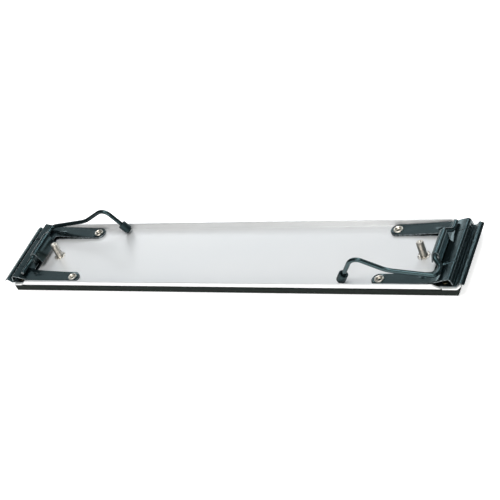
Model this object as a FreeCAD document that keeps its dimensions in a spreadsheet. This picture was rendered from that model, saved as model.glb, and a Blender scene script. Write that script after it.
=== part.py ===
import FreeCAD, Part
import Sketcher
import math
import os
import re

# A long flat pad for a straight-line sander, 400 by 70 mm: a foam sole, a flanged sheet plate, and at
# each end a paper clamp, which is a fixed lower jaw, a spring jaw and a bent-wire lever.
# X runs along the pad, Y across it, Z up. The origin is at the middle of the sole's underside.
# Both clamps are the same, so one is drawn at the +X end and its twin is turned half round about Z.

doc = FreeCAD.newDocument("sander_pad")
sizes = doc.addObject("Spreadsheet::Sheet", "sizes")

DRIVING = [
    # foam sole
    ("sole_thick", 6.0),
    ("half_width", 35.0),
    ("sole_end_left", 197.0),
    ("sole_end_right", 200.6),
    # sheet plate
    ("plate_thick", 1.5),
    ("plate_bend_x", 200.2),
    ("end_slope", 42.0),
    ("end_rise", 3.1),
    ("side_height", 4.7),
    ("side_lean", 1.5),
    ("side_full_x", 183.0),
    ("side_end_x", 189.0),
    ("relief_length", 0.6),
    ("notch_x", 196.4),
    ("notch_depth", 4.0),
    ("fold_radius_out", 1.8),
    ("fold_radius_in", 0.45),
    # clamp sheet, shared by both jaws
    ("jaw_thick", 0.8),
    ("jaw_half_width", 33.4),
    ("arm_width", 12.1),
    ("arm_tip_x", 132.8),
    ("arm_rivet_x", 139.0),
    ("arm_gap", 0.16),
    ("arm_flat_x", 145.0),
    ("arm_bow", 0.9),
    ("crossbar_x", 180.6),
    ("inner_corner_radius", 2.0),
    # fixed lower jaw
    ("ridge_x", 203.9),
    ("hook_x", 206.9),
    ("hook_z", 9.9),
    ("ridge_radius", 0.56),
    # spring jaw, heights of its upper face
    ("step_x", 168.0),
    ("bar_z", 10.35),
    ("seat_x", 185.0),
    ("seat_z", 11.6),
    ("shoulder_x", 189.6),
    ("shoulder_z", 14.1),
    ("crest_x", 194.9),
    ("crest_z", 15.5),
    ("brow_x", 197.3),
    ("brow_z", 13.7),
    ("lip_x", 198.5),
    ("lip_gap", 0.45),
    ("crest_radius", 1.12),
    ("window_x", 185.4),
    ("window_half", 13.4),
    # gripping holes in both jaws
    ("grip_hole", 1.6),
    ("grip_pitch", 3.6),
    ("grip_count", 17),
    ("grip_z_lower", 9.9),
    ("grip_z_upper", 10.8),
    # wire lever
    ("wire_diameter", 3.5),
    ("crank_x", 181.9),
    ("crank_z", 19.6),
    ("journal_x", 186.5),
    ("journal_z", 15.4),
    ("web_start", 15.0),
    ("web_end", 19.8),
    ("tail_end", 30.0),
    ("lever_side", 29.7),
    ("knee_x", 148.9),
    ("knee_z", 20.85),
    ("hump_x", 124.4),
    ("hump_z", 34.2),
    ("nose_x", 108.2),
    ("nose_z", 9.3),
    ("crank_bend", 3.0),
    ("corner_bend", 4.0),
    ("knee_bend", 28.0),
    ("hump_bend", 8.4),
    # rubber cap
    ("cap_diameter", 7.5),
    ("cap_length", 9.0),
    ("cap_nose_diameter", 5.8),
    ("cap_nose_length", 1.3),
    ("cap_mouth_diameter", 5.0),
    ("cap_mouth_depth", 0.9),
    ("cap_floor", 2.2),
    # saddle
    ("saddle_thick", 1.2),
    ("saddle_half", 12.9),
    ("pin_clearance", 0.08),
    ("flap_x", 176.2),
    ("flap_z", 11.8),
    ("foot_x", 193.0),
    ("foot_bend", 1.08),
    # fasteners
    ("arm_rivet_y", 27.3),
    ("arm_rivet_shank", 4.0),
    ("arm_rivet_head", 8.4),
    ("arm_rivet_bore", 2.6),
    ("arm_rivet_dish", 5.2),
    ("arm_rivet_foot", 6.0),
    ("arm_hole", 4.8),
    ("rivet_lift", 0.35),
    ("head_thick", 0.8),
    ("clinch_thick", 0.6),
    ("head_edge", 0.5),
    ("crossbar_rivet_x", 191.0),
    ("crossbar_rivet_y", 28.6),
    ("small_shank", 3.0),
    ("small_head", 5.0),
    ("saddle_rivet_x", 189.0),
    ("saddle_rivet_y", 8.0),
    ("stud_x", 166.7),
    ("stud_diameter", 6.0),
    ("stud_collar", 6.4),
    ("stud_top", 21.6),
    ("stud_head", 12.0),
    ("stud_head_thick", 1.8),
    ("stud_chamfer", 0.7),
    ("stud_dimple", 2.2),
    ("washer_outside", 10.0),
    ("washer_thick", 0.5),
    ("washer_teeth", 10),
    ("washer_slot", 1.2),
    ("washer_land", 0.9),
    ("free_gap", 0.1),
    # how far a cutting outline runs past the sheet it trims
    ("overrun", 1.0),
]

for row, (alias, number) in enumerate(DRIVING, start=1):
    sizes.set(f"A{row}", alias)
    sizes.set(f"B{row}", str(number))
    sizes.setAlias(f"B{row}", alias)
doc.recompute()

ALIASES = {alias for alias, number in DRIVING}
FLOOR = "(sole_thick + plate_thick)"
ARM_TOP = "(sole_thick + plate_thick + 2 * jaw_thick + arm_gap)"
TIP_X = "(plate_bend_x + end_rise / tan(end_slope))"
TIP_Z = f"({FLOOR} + end_rise)"
UNDER_BEND_X = "(plate_bend_x + plate_thick * tan(end_slope / 2))"
UNDER_TIP_X = f"({TIP_X} + plate_thick * sin(end_slope))"
UNDER_TIP_Z = f"({TIP_Z} - plate_thick * cos(end_slope))"
JAW_BEND_X = "(plate_bend_x - jaw_thick * tan(end_slope / 2))"
RIDGE_Z = f"({FLOOR} + jaw_thick + (ridge_x - {JAW_BEND_X}) * tan(end_slope))"
THROUGH_ALL = "2 * hump_z"


def cells(text):
    """Turns plain dimension names into references to the sheet."""
    def refer(word):
        return "sizes." + word.group() if word.group() in ALIASES else word.group()

    return re.sub(r"[a-z_]+", refer, text)


def value(text):
    """Works out a formula of dimension names as a plain number."""
    result = sizes.evalExpression(cells(text))
    return float(getattr(result, "Value", result))


def bind(target, place, text):
    target.setExpression(place, cells(text))


def new_body(label):
    body = doc.addObject("PartDesign::Body", label)
    body.Label = label
    body.AllowCompound = True
    return body


def new_sketch(body, name, role, offset="0"):
    """A sketch on one of the body's own origin planes, moved along the plane's normal."""
    plane = next(feature for feature in body.Origin.OriginFeatures if feature.Role == role)
    sketch = body.newObject("Sketcher::SketchObject", body.Name + "_" + name)
    sketch.AttachmentSupport = [(plane, "")]
    sketch.MapMode = "FlatFace"
    bind(sketch, "AttachmentOffset.Base.z", offset)
    return sketch


def hold_point(sketch, geometry, point, across, along):
    """Ties one point of a sketch to two formulas of the sheet."""
    for kind, axis, text in (("DistanceX", -2, across), ("DistanceY", -1, along)):
        if abs(value(text)) < 1e-9:
            sketch.addConstraint(Sketcher.Constraint("PointOnObject", geometry, point, axis))
        else:
            index = sketch.addConstraint(Sketcher.Constraint(kind, -1, 1, geometry, point, value(text)))
            bind(sketch, f"Constraints[{index}]", text)


def polygon(sketch, corners):
    """A closed outline whose corners are pairs of formulas."""
    spots = [FreeCAD.Vector(value(across), value(along), 0) for across, along in corners]
    first = sketch.GeometryCount
    count = len(spots)
    for number in range(count):
        sketch.addGeometry(Part.LineSegment(spots[number], spots[(number + 1) % count]), False)
    for number in range(count):
        following = first + (number + 1) % count
        sketch.addConstraint(Sketcher.Constraint("Coincident", first + number, 2, following, 1))
    for number, (across, along) in enumerate(corners):
        hold_point(sketch, first + number, 1, across, along)


def circle(sketch, across, along, diameter):
    spot = FreeCAD.Vector(value(across), value(along), 0)
    index = sketch.addGeometry(Part.Circle(spot, FreeCAD.Vector(0, 0, 1), value(diameter) / 2), False)
    hold_point(sketch, index, 3, across, along)
    size = sketch.addConstraint(Sketcher.Constraint("Diameter", index, value(diameter)))
    bind(sketch, f"Constraints[{size}]", diameter)


def finish_feature(body, feature):
    body.Tip = feature
    doc.recompute()
    if "Invalid" in feature.State:
        raise RuntimeError(f"{feature.Name}: {feature.getStatusString()}")
    return feature


def pad_across(body, name, sketch, length):
    """Sheet outline drawn from the side and made the same on both sides of the middle."""
    pad = body.newObject("PartDesign::Pad", body.Name + "_" + name)
    pad.Profile = sketch
    pad.SideType = "Symmetric"
    bind(pad, "Length", length)
    return finish_feature(body, pad)


def pad_up(body, name, sketch, length):
    pad = body.newObject("PartDesign::Pad", body.Name + "_" + name)
    pad.Profile = sketch
    bind(pad, "Length", length)
    return finish_feature(body, pad)


def cut(body, name, sketch, length):
    """A pocket to both sides of its sketch; one that misses the sheet is an error."""
    before = body.Shape.Volume
    pocket = body.newObject("PartDesign::Pocket", body.Name + "_" + name)
    pocket.Profile = sketch
    pocket.SideType = "Symmetric"
    bind(pocket, "Length", length)
    finish_feature(body, pocket)
    if body.Shape.Volume > before - 1e-6:
        raise RuntimeError(f"{pocket.Name} cuts nothing")
    return pocket


def edges_along(shape, axis, places):
    """Names of the straight edges parallel to one axis that stand at the given places."""
    others = [number for number in range(3) if number != axis]
    names = []
    for number, edge in enumerate(shape.Edges, start=1):
        ends = [vertex.Point for vertex in edge.Vertexes]
        if len(ends) != 2:
            continue
        if any(abs(ends[0][other] - ends[1][other]) > 1e-4 for other in others):
            continue
        for place in places:
            if all(abs(ends[0][other] - spot) < 0.02 for other, spot in zip(others, place)):
                names.append(f"Edge{number}")
    return names


def fillet(body, name, axis, places, radius):
    names = edges_along(body.Shape, axis, places)
    if len(names) < len(places):
        raise RuntimeError(f"{body.Name} {name}: {len(names)} edges for {len(places)} places")
    base = body.Tip
    rounding = body.newObject("PartDesign::Fillet", body.Name + "_" + name)
    rounding.Base = (base, names)
    bind(rounding, "Radius", radius)
    return finish_feature(body, rounding)


def revolve(body, name, sketch, axis_line="V_Axis"):
    turned = body.newObject("PartDesign::Revolution", body.Name + "_" + name)
    turned.Profile = sketch
    turned.ReferenceAxis = (sketch, [axis_line])
    turned.Angle = 360
    return finish_feature(body, turned)


def sheet_outline(points, thickness):
    """Corners of a bent strip: the given upper corners, then the same run offset downwards."""
    upper = [FreeCAD.Vector(value(across), value(along), 0) for across, along in points]
    lower = []
    for number, spot in enumerate(upper):
        normals = []
        if number > 0:
            ahead = (spot - upper[number - 1]).normalize()
            normals.append(FreeCAD.Vector(ahead.y, -ahead.x, 0))
        if number < len(upper) - 1:
            ahead = (upper[number + 1] - spot).normalize()
            normals.append(FreeCAD.Vector(ahead.y, -ahead.x, 0))
        mean = sum(normals, FreeCAD.Vector()).normalize()
        lower.append(spot + mean * (thickness / mean.dot(normals[0])))
    return upper, lower


def strip(sketch, points):
    """A strip of jaw sheet whose upper face runs through the given corners."""
    upper, lower = sheet_outline(points, value("jaw_thick"))
    shifts = [spot - other for spot, other in zip(lower, upper)]
    corners = list(points)
    for (across, along), shift in reversed(list(zip(points, shifts))):
        share = shift / value("jaw_thick")
        corners.append((
            f"{across} + {share.x:.6f} * jaw_thick",
            f"{along} + {share.y:.6f} * jaw_thick",
        ))
    polygon(sketch, corners)
    return upper, lower


# ---------------------------------------------------------------- sheet plate

def make_plate():
    """One folded sheet: a floor, two sides that lean outwards, and both ends bent up."""
    body = new_body("base_plate")
    section = new_sketch(body, "section", "YZ_Plane")
    polygon(section, [
        ("-half_width", "sole_thick"),
        ("half_width", "sole_thick"),
        ("half_width + side_lean", FLOOR + " + side_height"),
        ("half_width + side_lean - plate_thick", FLOOR + " + side_height"),
        ("half_width - plate_thick", FLOOR),
        ("-half_width + plate_thick", FLOOR),
        ("-half_width - side_lean + plate_thick", FLOOR + " + side_height"),
        ("-half_width - side_lean", FLOOR + " + side_height"),
    ])
    pad_across(body, "tray", section, "2 * side_end_x")
    floor = value(FLOOR)
    half = value("half_width")
    low = value("sole_thick")
    fillet(body, "outer_bend", 0, [(-half, low), (half, low)], "fold_radius_out")
    inner = half - value("plate_thick")
    fillet(body, "inner_bend", 0, [(-inner, floor), (inner, floor)], "fold_radius_in")
    for side, sign in (("left", "-"), ("right", "")):
        slope = new_sketch(body, "slope_" + side, "XZ_Plane")
        polygon(slope, [
            (f"{sign}side_full_x", FLOOR + " + side_height + overrun"),
            (f"{sign}side_full_x", FLOOR + " + side_height"),
            (f"{sign}(side_end_x - relief_length)", FLOOR),
            (f"{sign}(side_end_x + overrun)", FLOOR),
            (f"{sign}(side_end_x + overrun)", FLOOR + " + side_height + overrun"),
        ])
        cut(body, "slope_cut_" + side, slope, "2 * (half_width + side_lean + overrun)")
    ends = new_sketch(body, "ends", "XZ_Plane")
    polygon(ends, [
        ("-side_end_x + overrun", "sole_thick"),
        ("-" + UNDER_BEND_X, "sole_thick"),
        ("-" + UNDER_TIP_X, UNDER_TIP_Z),
        ("-" + TIP_X, TIP_Z),
        ("-plate_bend_x", FLOOR),
        ("-side_end_x + overrun", FLOOR),
    ])
    polygon(ends, [
        ("side_end_x - overrun", "sole_thick"),
        (UNDER_BEND_X, "sole_thick"),
        (UNDER_TIP_X, UNDER_TIP_Z),
        (TIP_X, TIP_Z),
        ("plate_bend_x", FLOOR),
        ("side_end_x - overrun", FLOOR),
    ])
    pad_across(body, "bent_ends", ends, "2 * half_width")
    bend = value("plate_bend_x")
    under = value(UNDER_BEND_X)
    fillet(body, "end_bends", 1, [(-bend, floor), (bend, floor), (-under, low), (under, low)], "plate_thick")
    notches = new_sketch(body, "notches", "XY_Plane")
    for sign in ("", "-"):
        polygon(notches, [
            (f"{sign}notch_x", f"{sign}(half_width - notch_depth)"),
            (f"{sign}({UNDER_TIP_X} + overrun)", f"{sign}(half_width - notch_depth)"),
            (f"{sign}({UNDER_TIP_X} + overrun)", f"{sign}(half_width + overrun)"),
            (f"{sign}notch_x", f"{sign}(half_width + overrun)"),
        ])
    cut(body, "notch_cut", notches, THROUGH_ALL)
    holes = new_sketch(body, "holes", "XY_Plane")
    for sign in ("", "-"):
        circle(holes, f"{sign}stud_x", "0", "stud_collar + free_gap")
        for side in ("", "-"):
            circle(holes, f"{sign}arm_rivet_x", f"{side}arm_rivet_y", "arm_rivet_shank + free_gap")
            circle(holes, f"{sign}crossbar_rivet_x", f"{side}crossbar_rivet_y", "small_shank + free_gap")
            circle(holes, f"{sign}saddle_rivet_x", f"{side}saddle_rivet_y", "small_shank + free_gap")
    cut(body, "hole_cut", holes, THROUGH_ALL)
    return body


def make_sole():
    """A block of foam glued under the plate, hollowed where the fasteners' undersides press in."""
    body = new_body("foam_pad")
    side = new_sketch(body, "side", "XZ_Plane")
    polygon(side, [
        ("-sole_end_left", "0"),
        ("sole_end_right", "0"),
        (UNDER_TIP_X, UNDER_TIP_Z),
        (UNDER_BEND_X, "sole_thick"),
        ("-sole_end_left", "sole_thick"),
    ])
    pad_across(body, "block", side, "2 * half_width")
    hollows = [
        ("clinch", "clinch_thick", "arm_rivet_x", "arm_rivet_y", "arm_rivet_foot"),
        ("small", "clinch_thick", "crossbar_rivet_x", "crossbar_rivet_y", "small_head"),
        ("saddle", "clinch_thick", "saddle_rivet_x", "saddle_rivet_y", "small_head"),
        ("stud", "stud_head_thick", "stud_x", "0", "stud_head"),
    ]
    for name, depth, across, along, diameter in hollows:
        spots = new_sketch(body, name + "_spots", "XY_Plane", "sole_thick")
        for sign in ("", "-"):
            sides = ("",) if along == "0" else ("", "-")
            for other in sides:
                circle(spots, sign + across, other + along, diameter + " + 2 * free_gap")
        cut(body, name + "_hollow", spots, f"2 * ({depth} + free_gap)")
    return body


# ---------------------------------------------------------------- one clamp

def jaw_plan(body):
    """Cuts the strip to a U in plan: two arms with round ends and a crossbar."""
    inside = new_sketch(body, "inside", "XY_Plane")
    polygon(inside, [
        ("arm_tip_x - overrun", "-jaw_half_width + arm_width"),
        ("crossbar_x", "-jaw_half_width + arm_width"),
        ("crossbar_x", "jaw_half_width - arm_width"),
        ("arm_tip_x - overrun", "jaw_half_width - arm_width"),
    ])
    cut(body, "inside_cut", inside, THROUGH_ALL)
    tip = value("arm_tip_x")
    outer = value("jaw_half_width")
    inner = outer - value("arm_width")
    ends = [(tip, outer), (tip, inner), (tip, -outer), (tip, -inner)]
    fillet(body, "round_ends", 2, ends, "(arm_width - free_gap) / 2")
    bar = value("crossbar_x")
    fillet(body, "inner_corners", 2, [(bar, inner), (bar, -inner)], "inner_corner_radius")


def grip_holes(body, name, offset, height, depth):
    """A row of small round holes across the jaw, cut along X."""
    first = new_sketch(body, name, "YZ_Plane", offset)
    circle(first, "-(grip_count - 1) / 2 * grip_pitch", height, "grip_hole")
    hole = cut(body, name + "_cut", first, depth)
    row = body.newObject("PartDesign::LinearPattern", body.Name + "_" + name + "_row")
    row.Originals = [hole]
    row.Direction = (first, ["H_Axis"])
    bind(row, "Length", "(grip_count - 1) * grip_pitch")
    bind(row, "Occurrences", "grip_count")
    return finish_feature(body, row)


def make_lower_jaw(label):
    """Fixed jaw, lying on the plate: its outer edge rises with the plate's end and folds over it."""
    body = new_body(label)
    side = new_sketch(body, "side", "XZ_Plane")
    upper, lower = strip(side, [
        ("arm_tip_x", FLOOR + " + jaw_thick"),
        (JAW_BEND_X, FLOOR + " + jaw_thick"),
        ("ridge_x", RIDGE_Z),
        ("hook_x", "hook_z"),
    ])
    pad_across(body, "strip", side, "2 * jaw_half_width")
    fillet(body, "ridge_round", 1, [(upper[2].x, upper[2].y)], "ridge_radius")
    fillet(body, "bend_under", 1, [(lower[1].x, lower[1].y)], "plate_thick")
    fillet(body, "bend_over", 1, [(upper[1].x, upper[1].y)], "plate_thick - jaw_thick")
    jaw_plan(body)
    grip_holes(body, "grip", "(plate_bend_x + ridge_x) / 2", "grip_z_lower", "3 * jaw_thick")
    holes = new_sketch(body, "holes", "XY_Plane")
    for sign in ("", "-"):
        circle(holes, "arm_rivet_x", f"{sign}arm_rivet_y", "arm_rivet_shank + free_gap")
        circle(holes, "crossbar_rivet_x", f"{sign}crossbar_rivet_y", "small_shank + free_gap")
        circle(holes, "saddle_rivet_x", f"{sign}saddle_rivet_y", "small_shank + free_gap")
    cut(body, "hole_cut", holes, THROUGH_ALL)
    return body


def make_spring_jaw(label):
    """Moving jaw: the arms lie on the lower jaw's arms and the crossbar arches down to a lip."""
    body = new_body(label)
    side = new_sketch(body, "side", "XZ_Plane")
    upper, lower = strip(side, [
        ("arm_tip_x", ARM_TOP),
        ("arm_flat_x", ARM_TOP),
        ("step_x", ARM_TOP + " + arm_bow"),
        ("crossbar_x", "bar_z"),
        ("seat_x", "seat_z"),
        ("shoulder_x", "shoulder_z"),
        ("crest_x", "crest_z"),
        ("brow_x", "brow_z"),
        ("lip_x", FLOOR + " + jaw_thick + lip_gap"),
    ])
    pad_across(body, "strip", side, "2 * jaw_half_width")
    crest = [(upper[6].x, upper[6].y), (upper[7].x, upper[7].y)]
    fillet(body, "crest_round", 1, crest, "crest_radius")
    jaw_plan(body)
    window = new_sketch(body, "window", "XY_Plane")
    polygon(window, [
        ("crossbar_x - overrun", "-window_half"),
        ("window_x", "-window_half"),
        ("window_x", "window_half"),
        ("crossbar_x - overrun", "window_half"),
    ])
    cut(body, "window_cut", window, THROUGH_ALL)
    grip_holes(body, "grip", "lip_x", "grip_z_upper", "5 * jaw_thick")
    holes = new_sketch(body, "holes", "XY_Plane")
    for sign in ("", "-"):
        circle(holes, "arm_rivet_x", f"{sign}arm_rivet_y", "arm_hole")
    cut(body, "hole_cut", holes, THROUGH_ALL)
    return body


def make_saddle(label):
    """Folded bracket: a flap, a roll that is the bearing of the crank, a leg and a foot."""
    body = new_body(label)
    sketch = new_sketch(body, "side", "XZ_Plane")
    pin = FreeCAD.Vector(value("crank_x"), value("crank_z"), 0)
    inside = value("wire_diameter / 2 + pin_clearance")
    outside = inside + value("saddle_thick")
    edge = FreeCAD.Vector(value("flap_x"), value("flap_z"), 0)
    reach = pin - edge
    lean = math.atan2(reach.y, reach.x) + math.asin(outside / reach.Length)
    along = FreeCAD.Vector(math.cos(lean), math.sin(lean), 0)
    away = FreeCAD.Vector(-along.y, along.x, 0)
    upright = FreeCAD.Vector(0, 0, 1)
    start = lean + math.pi / 2
    roll_out = Part.ArcOfCircle(Part.Circle(pin, upright, outside), 0, start)
    roll_in = Part.ArcOfCircle(Part.Circle(pin, upright, inside), 0, start)
    bottom = value(FLOOR + " + jaw_thick")
    foot_top = bottom + value("saddle_thick")
    foot_end = value("foot_x")
    leg_out = pin.x + outside
    leg_in = pin.x + inside
    inner_edge = edge - away * value("saddle_thick")
    runs = [
        (pin + away * outside, edge),
        (edge, inner_edge),
        (inner_edge, pin + away * inside),
        (FreeCAD.Vector(leg_in, pin.y, 0), FreeCAD.Vector(leg_in, bottom, 0)),
        (FreeCAD.Vector(leg_in, bottom, 0), FreeCAD.Vector(foot_end, bottom, 0)),
        (FreeCAD.Vector(foot_end, bottom, 0), FreeCAD.Vector(foot_end, foot_top, 0)),
        (FreeCAD.Vector(foot_end, foot_top, 0), FreeCAD.Vector(leg_out, foot_top, 0)),
        (FreeCAD.Vector(leg_out, foot_top, 0), FreeCAD.Vector(leg_out, pin.y, 0)),
    ]
    sketch.addGeometry(roll_out, False)
    sketch.addGeometry(roll_in, False)
    for begin, end in runs:
        sketch.addGeometry(Part.LineSegment(begin, end), False)
    flap_out, flap_end, flap_in, leg_inner, foot_low, foot_tip, foot_high, leg_outer = range(2, 10)
    join = [
        ("Tangent", 0, 2, flap_out, 1),
        ("Tangent", 1, 2, flap_in, 2),
        ("Tangent", 1, 1, leg_inner, 1),
        ("Tangent", 0, 1, leg_outer, 2),
        ("Coincident", 0, 3, 1, 3),
        ("Coincident", flap_out, 2, flap_end, 1),
        ("Coincident", flap_end, 2, flap_in, 1),
        ("Coincident", leg_inner, 2, foot_low, 1),
        ("Coincident", foot_low, 2, foot_tip, 1),
        ("Coincident", foot_tip, 2, foot_high, 1),
        ("Coincident", foot_high, 2, leg_outer, 1),
        ("Vertical", leg_inner),
        ("Vertical", leg_outer),
        ("Horizontal", foot_low),
        ("Horizontal", foot_high),
        ("Vertical", foot_tip),
        ("Perpendicular", flap_out, flap_end),
    ]
    for constraint in join:
        sketch.addConstraint(Sketcher.Constraint(*constraint))
    hold_point(sketch, 0, 3, "crank_x", "crank_z")
    bearing = "wire_diameter / 2 + pin_clearance"
    for arc, radius in ((0, bearing + " + saddle_thick"), (1, bearing)):
        index = sketch.addConstraint(Sketcher.Constraint("Radius", arc, value(radius)))
        bind(sketch, f"Constraints[{index}]", radius)
    hold_point(sketch, flap_out, 2, "flap_x", "flap_z")
    hold_point(sketch, foot_low, 2, "foot_x", FLOOR + " + jaw_thick")
    rise = Sketcher.Constraint("DistanceY", foot_tip, 1, foot_tip, 2, value("saddle_thick"))
    height = sketch.addConstraint(rise)
    bind(sketch, f"Constraints[{height}]", "saddle_thick")
    pad_across(body, "strip", sketch, "2 * saddle_half")
    fillet(body, "foot_bend", 1, [(leg_in, bottom)], "foot_bend")
    holes = new_sketch(body, "holes", "XY_Plane")
    for sign in ("", "-"):
        circle(holes, "saddle_rivet_x", f"{sign}saddle_rivet_y", "small_shank + free_gap")
    cut(body, "hole_cut", holes, "2 * (foot_x - crank_x)")
    return body


def rounded_path(points, radii):
    """Straight runs joined by tangent arcs: a wire as a bending bench leaves it."""
    edges = []
    last = points[0]
    for number, radius in enumerate(radii, start=1):
        corner = points[number]
        back = (points[number - 1] - corner).normalize()
        ahead = (points[number + 1] - corner).normalize()
        half_turn = (math.pi - back.getAngle(ahead)) / 2
        reach = radius * math.tan(half_turn)
        arc_in = corner + back * reach
        arc_out = corner + ahead * reach
        middle = corner + (back + ahead).normalize() * (radius / math.cos(half_turn) - radius)
        edges.append(Part.makeLine(last, arc_in))
        edges.append(Part.Arc(arc_in, middle, arc_out).toShape())
        last = arc_out
    edges.append(Part.makeLine(last, points[-1]))
    return Part.Wire(edges)


def make_lever(label):
    """One length of steel wire: tail, crank, corner, and the handle with its hump.

    The bends lie in several planes, so the wire is swept along a path in space.
    """
    crank_x = value("crank_x")
    crank_z = value("crank_z")
    journal_x = value("journal_x")
    journal_z = value("journal_z")
    side = value("lever_side")
    points = [FreeCAD.Vector(journal_x, value("tail_end"), journal_z)]
    points.append(FreeCAD.Vector(journal_x, value("web_end"), journal_z))
    points.append(FreeCAD.Vector(crank_x, value("web_start"), crank_z))
    points.append(FreeCAD.Vector(crank_x, -value("web_start"), crank_z))
    points.append(FreeCAD.Vector(journal_x, -value("web_end"), journal_z))
    points.append(FreeCAD.Vector(journal_x, -side, journal_z))
    points.append(FreeCAD.Vector(value("knee_x"), -side, value("knee_z")))
    points.append(FreeCAD.Vector(value("hump_x"), -side, value("hump_z")))
    hump = points[-1]
    nose = FreeCAD.Vector(value("nose_x"), -side, value("nose_z"))
    along = (nose - hump).normalize()
    points.append(nose - along * value("cap_floor"))
    radii = [value("crank_bend")] * 4
    radii += [value("corner_bend"), value("knee_bend"), value("hump_bend")]
    path = rounded_path(points, radii)
    start = Part.Circle(points[0], FreeCAD.Vector(0, 1, 0), value("wire_diameter") / 2)
    section = Part.Wire(start.toShape())
    wire = path.makePipeShell([section], True, False)
    expected = path.Length * math.pi * (value("wire_diameter") / 2) ** 2
    if abs(wire.Volume / expected - 1) > 0.01:
        raise RuntimeError(f"lever volume {wire.Volume:.1f} for {expected:.1f}")
    lever = doc.addObject("Part::Feature", label)
    lever.Label = label
    lever.Shape = wire
    return lever


def make_cap(label):
    """Rubber cap pushed on the wire's end, turned about its own axis and then set in place."""
    body = new_body(label)
    half = new_sketch(body, "half", "XZ_Plane")
    wire = "wire_diameter / 2"
    polygon(half, [
        ("0", "0"),
        ("cap_nose_diameter / 2", "0"),
        ("cap_nose_diameter / 2", "cap_nose_length"),
        ("cap_diameter / 2", "cap_nose_length"),
        ("cap_diameter / 2", "cap_length"),
        ("cap_mouth_diameter / 2", "cap_length"),
        ("cap_mouth_diameter / 2", "cap_length - cap_mouth_depth"),
        (wire, "cap_length - cap_mouth_depth"),
        (wire, "cap_floor"),
        ("0", "cap_floor"),
    ])
    revolve(body, "turned", half)
    nose = FreeCAD.Vector(value("nose_x"), -value("lever_side"), value("nose_z"))
    hump = FreeCAD.Vector(value("hump_x"), -value("lever_side"), value("hump_z"))
    turn = FreeCAD.Rotation(FreeCAD.Vector(0, 0, 1), hump - nose)
    body.Placement = FreeCAD.Placement(nose, turn)
    return body


def make_rivets(label, corners, across, along):
    """Two equal rivets side by side, turned from one half outline."""
    body = new_body(label)
    half = new_sketch(body, "half", "XZ_Plane", along)
    polygon(half, [(f"{across} + {radius}", height) for radius, height in corners])
    middle = value(across)
    line = Part.LineSegment(FreeCAD.Vector(middle, 0, 0), FreeCAD.Vector(middle, value("small_head"), 0))
    axis = half.addGeometry(line, True)
    hold_point(half, axis, 1, across, "0")
    hold_point(half, axis, 2, across, "small_head")
    doc.recompute()
    turned = revolve(body, "turned", half, "Axis0")
    pair = body.newObject("PartDesign::LinearPattern", body.Name + "_pair")
    pair.Originals = [turned]
    across_pad = next(feature for feature in body.Origin.OriginFeatures if feature.Role == "Y_Axis")
    pair.Direction = (across_pad, [""])
    bind(pair, "Length", f"2 * {along}")
    pair.Occurrences = 2
    finish_feature(body, pair)
    return body


def make_arm_rivets(label):
    """Tubular rivets: the head is dished and the bore shows in it."""
    head = f"{ARM_TOP} + rivet_lift"
    return make_rivets(label, [
        ("arm_rivet_bore / 2", "sole_thick - clinch_thick"),
        ("arm_rivet_foot / 2", "sole_thick - clinch_thick"),
        ("arm_rivet_foot / 2", "sole_thick"),
        ("arm_rivet_shank / 2", "sole_thick"),
        ("arm_rivet_shank / 2", head),
        ("arm_rivet_head / 2", head),
        ("arm_rivet_head / 2 - head_edge", f"{head} + head_thick"),
        ("arm_rivet_dish / 2", f"{head} + head_thick"),
        ("arm_rivet_bore / 2", f"{head} - head_edge"),
    ], "arm_rivet_x", "arm_rivet_y")


def make_small_rivets(label, across, along, under_head):
    """Plain round-headed rivets."""
    return make_rivets(label, [
        ("0", "sole_thick - clinch_thick"),
        ("small_head / 2", "sole_thick - clinch_thick"),
        ("small_head / 2", "sole_thick"),
        ("small_shank / 2", "sole_thick"),
        ("small_shank / 2", under_head),
        ("small_head / 2", under_head),
        ("small_head / 2 - head_edge", f"{under_head} + head_thick"),
        ("0", f"{under_head} + head_thick"),
    ], across, along)


def make_stud(label):
    """Mounting post: pressed up through the plate with a collar, its flat head in the foam."""
    body = new_body(label)
    collar_top = FLOOR + " + washer_thick + free_gap"
    half = new_sketch(body, "half", "XZ_Plane")
    polygon(half, [
        ("0", "sole_thick - stud_head_thick"),
        ("stud_head / 2", "sole_thick - stud_head_thick"),
        ("stud_head / 2", "sole_thick"),
        ("stud_collar / 2", "sole_thick"),
        ("stud_collar / 2", collar_top),
        ("stud_diameter / 2", collar_top),
        ("stud_diameter / 2", "stud_top - stud_chamfer"),
        ("stud_diameter / 2 - stud_chamfer", "stud_top"),
        ("stud_dimple / 2", "stud_top"),
        ("0", "stud_top - stud_dimple / 3"),
    ])
    revolve(body, "turned", half)
    body.Placement = FreeCAD.Placement(FreeCAD.Vector(value("stud_x"), 0, 0), FreeCAD.Rotation())
    return body


def make_washer(label):
    """Star lock washer pushed over the post and biting on it."""
    body = new_body(label)
    ring = new_sketch(body, "ring", "XY_Plane", FLOOR)
    circle(ring, "0", "0", "washer_outside")
    circle(ring, "0", "0", "stud_collar")
    pad_up(body, "disc", ring, "washer_thick")
    slot = new_sketch(body, "slot", "XY_Plane", FLOOR)
    polygon(slot, [
        ("stud_diameter / 2 + washer_land", "-washer_slot / 4"),
        ("washer_outside / 2 + overrun", "-washer_slot"),
        ("washer_outside / 2 + overrun", "washer_slot"),
        ("stud_diameter / 2 + washer_land", "washer_slot / 4"),
    ])
    notch = cut(body, "slot_cut", slot, "4 * washer_thick")
    teeth = body.newObject("PartDesign::PolarPattern", body.Name + "_teeth")
    teeth.Originals = [notch]
    teeth.Axis = (slot, ["N_Axis"])
    teeth.Angle = 360
    bind(teeth, "Occurrences", "washer_teeth")
    finish_feature(body, teeth)
    body.Placement = FreeCAD.Placement(FreeCAD.Vector(value("stud_x"), 0, 0), FreeCAD.Rotation())
    return body


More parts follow.
